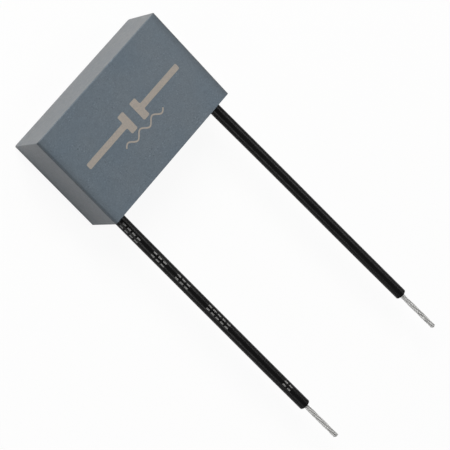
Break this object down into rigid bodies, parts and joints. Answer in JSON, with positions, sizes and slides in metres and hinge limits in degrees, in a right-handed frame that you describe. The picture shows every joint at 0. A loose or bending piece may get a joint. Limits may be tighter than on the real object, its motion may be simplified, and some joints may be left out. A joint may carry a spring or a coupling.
{
  "type": "motor run capacitor",
  "caption": "Small box-shaped film capacitor with insulated wire leads leaving the potted long side, their ends stripped for soldering or a terminal.",
  "frame": {"origin": "centre of the case's back face, which it lies on", "axes": "+X along the case, +Y towards its closed long side with the leads leaving towards -Y, +Z out of the printed broad face"},
  "size_m": [0.0397, 0.1002, 0.013],
  "materials": {
    "case_plastic": "satin moulded, fine mottle",
    "potting": "cast, glossy",
    "film": "metallised film",
    "zinc": "sprayed, matt",
    "solder": "bright solder",
    "tinned_copper": "tinned twisted strands",
    "lead_insulation": "extruded, satin"
  },
  "bodies": {
    "root": {"case": "case_plastic", "epoxy_fill": "potting", "film_winding": "film", "end_spray_left": "zinc", "end_spray_right": "zinc", "solder_joint_left": "solder", "solder_joint_right": "solder", "lead_left_conductor": "tinned_copper", "lead_right_conductor": "tinned_copper", "lead_left_insulation": "lead_insulation", "lead_right_insulation": "lead_insulation"}
  },
  "joints": []
}
